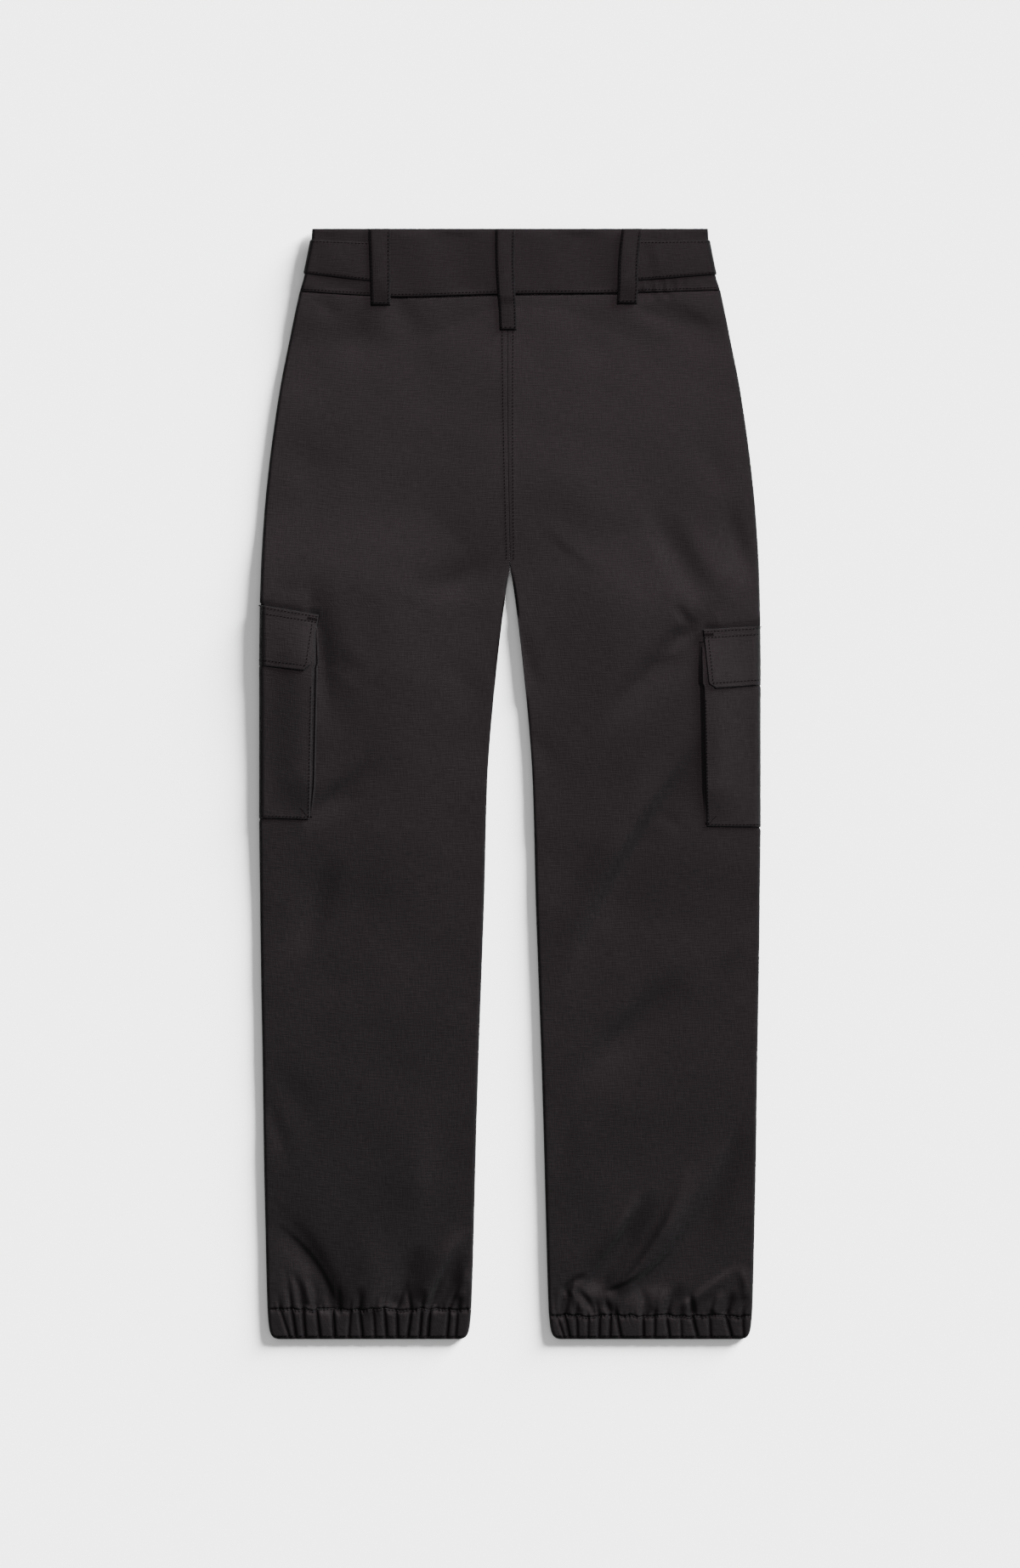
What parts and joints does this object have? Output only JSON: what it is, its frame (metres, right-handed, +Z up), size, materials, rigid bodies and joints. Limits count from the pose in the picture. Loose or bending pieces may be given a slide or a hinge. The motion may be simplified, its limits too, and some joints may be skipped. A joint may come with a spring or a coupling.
{
  "type": "cargo trousers laid flat",
  "caption": "Cargo trousers laid flat, back up: waistband with belt loops and side straps, patch pockets with flaps at the sides, gathered elastic hems.",
  "frame": {"origin": "middle of the ground rectangle that the garment covers, at the height of the ground", "axes": "+Z up, away from the ground and out of the garment's back; +Y towards the waist; +X towards the wearer's right"},
  "size_m": [0.46, 1.018, 0.0142],
  "materials": {
    "black_twill": "matt, slightly warm black cotton twill",
    "button_plastic": "satin black"
  },
  "bodies": {
    "root": {"back_leg_left": "black_twill", "front_leg_left": "black_twill", "cuff_left": "black_twill", "back_leg_right": "black_twill", "front_leg_right": "black_twill", "cuff_right": "black_twill", "waistband_back": "black_twill", "waistband_front": "black_twill", "belt_loop_left": "black_twill", "belt_loop_centre": "black_twill", "belt_loop_right": "black_twill", "waist_strap_left": "black_twill", "waist_strap_right": "black_twill", "pocket_bag_left": "black_twill", "pocket_gusset_left": "black_twill", "pocket_flap_left": "black_twill", "pocket_bag_right": "black_twill", "pocket_gusset_right": "black_twill", "pocket_flap_right": "black_twill", "fly": "black_twill", "waist_button": "button_plastic"}
  },
  "joints": []
}
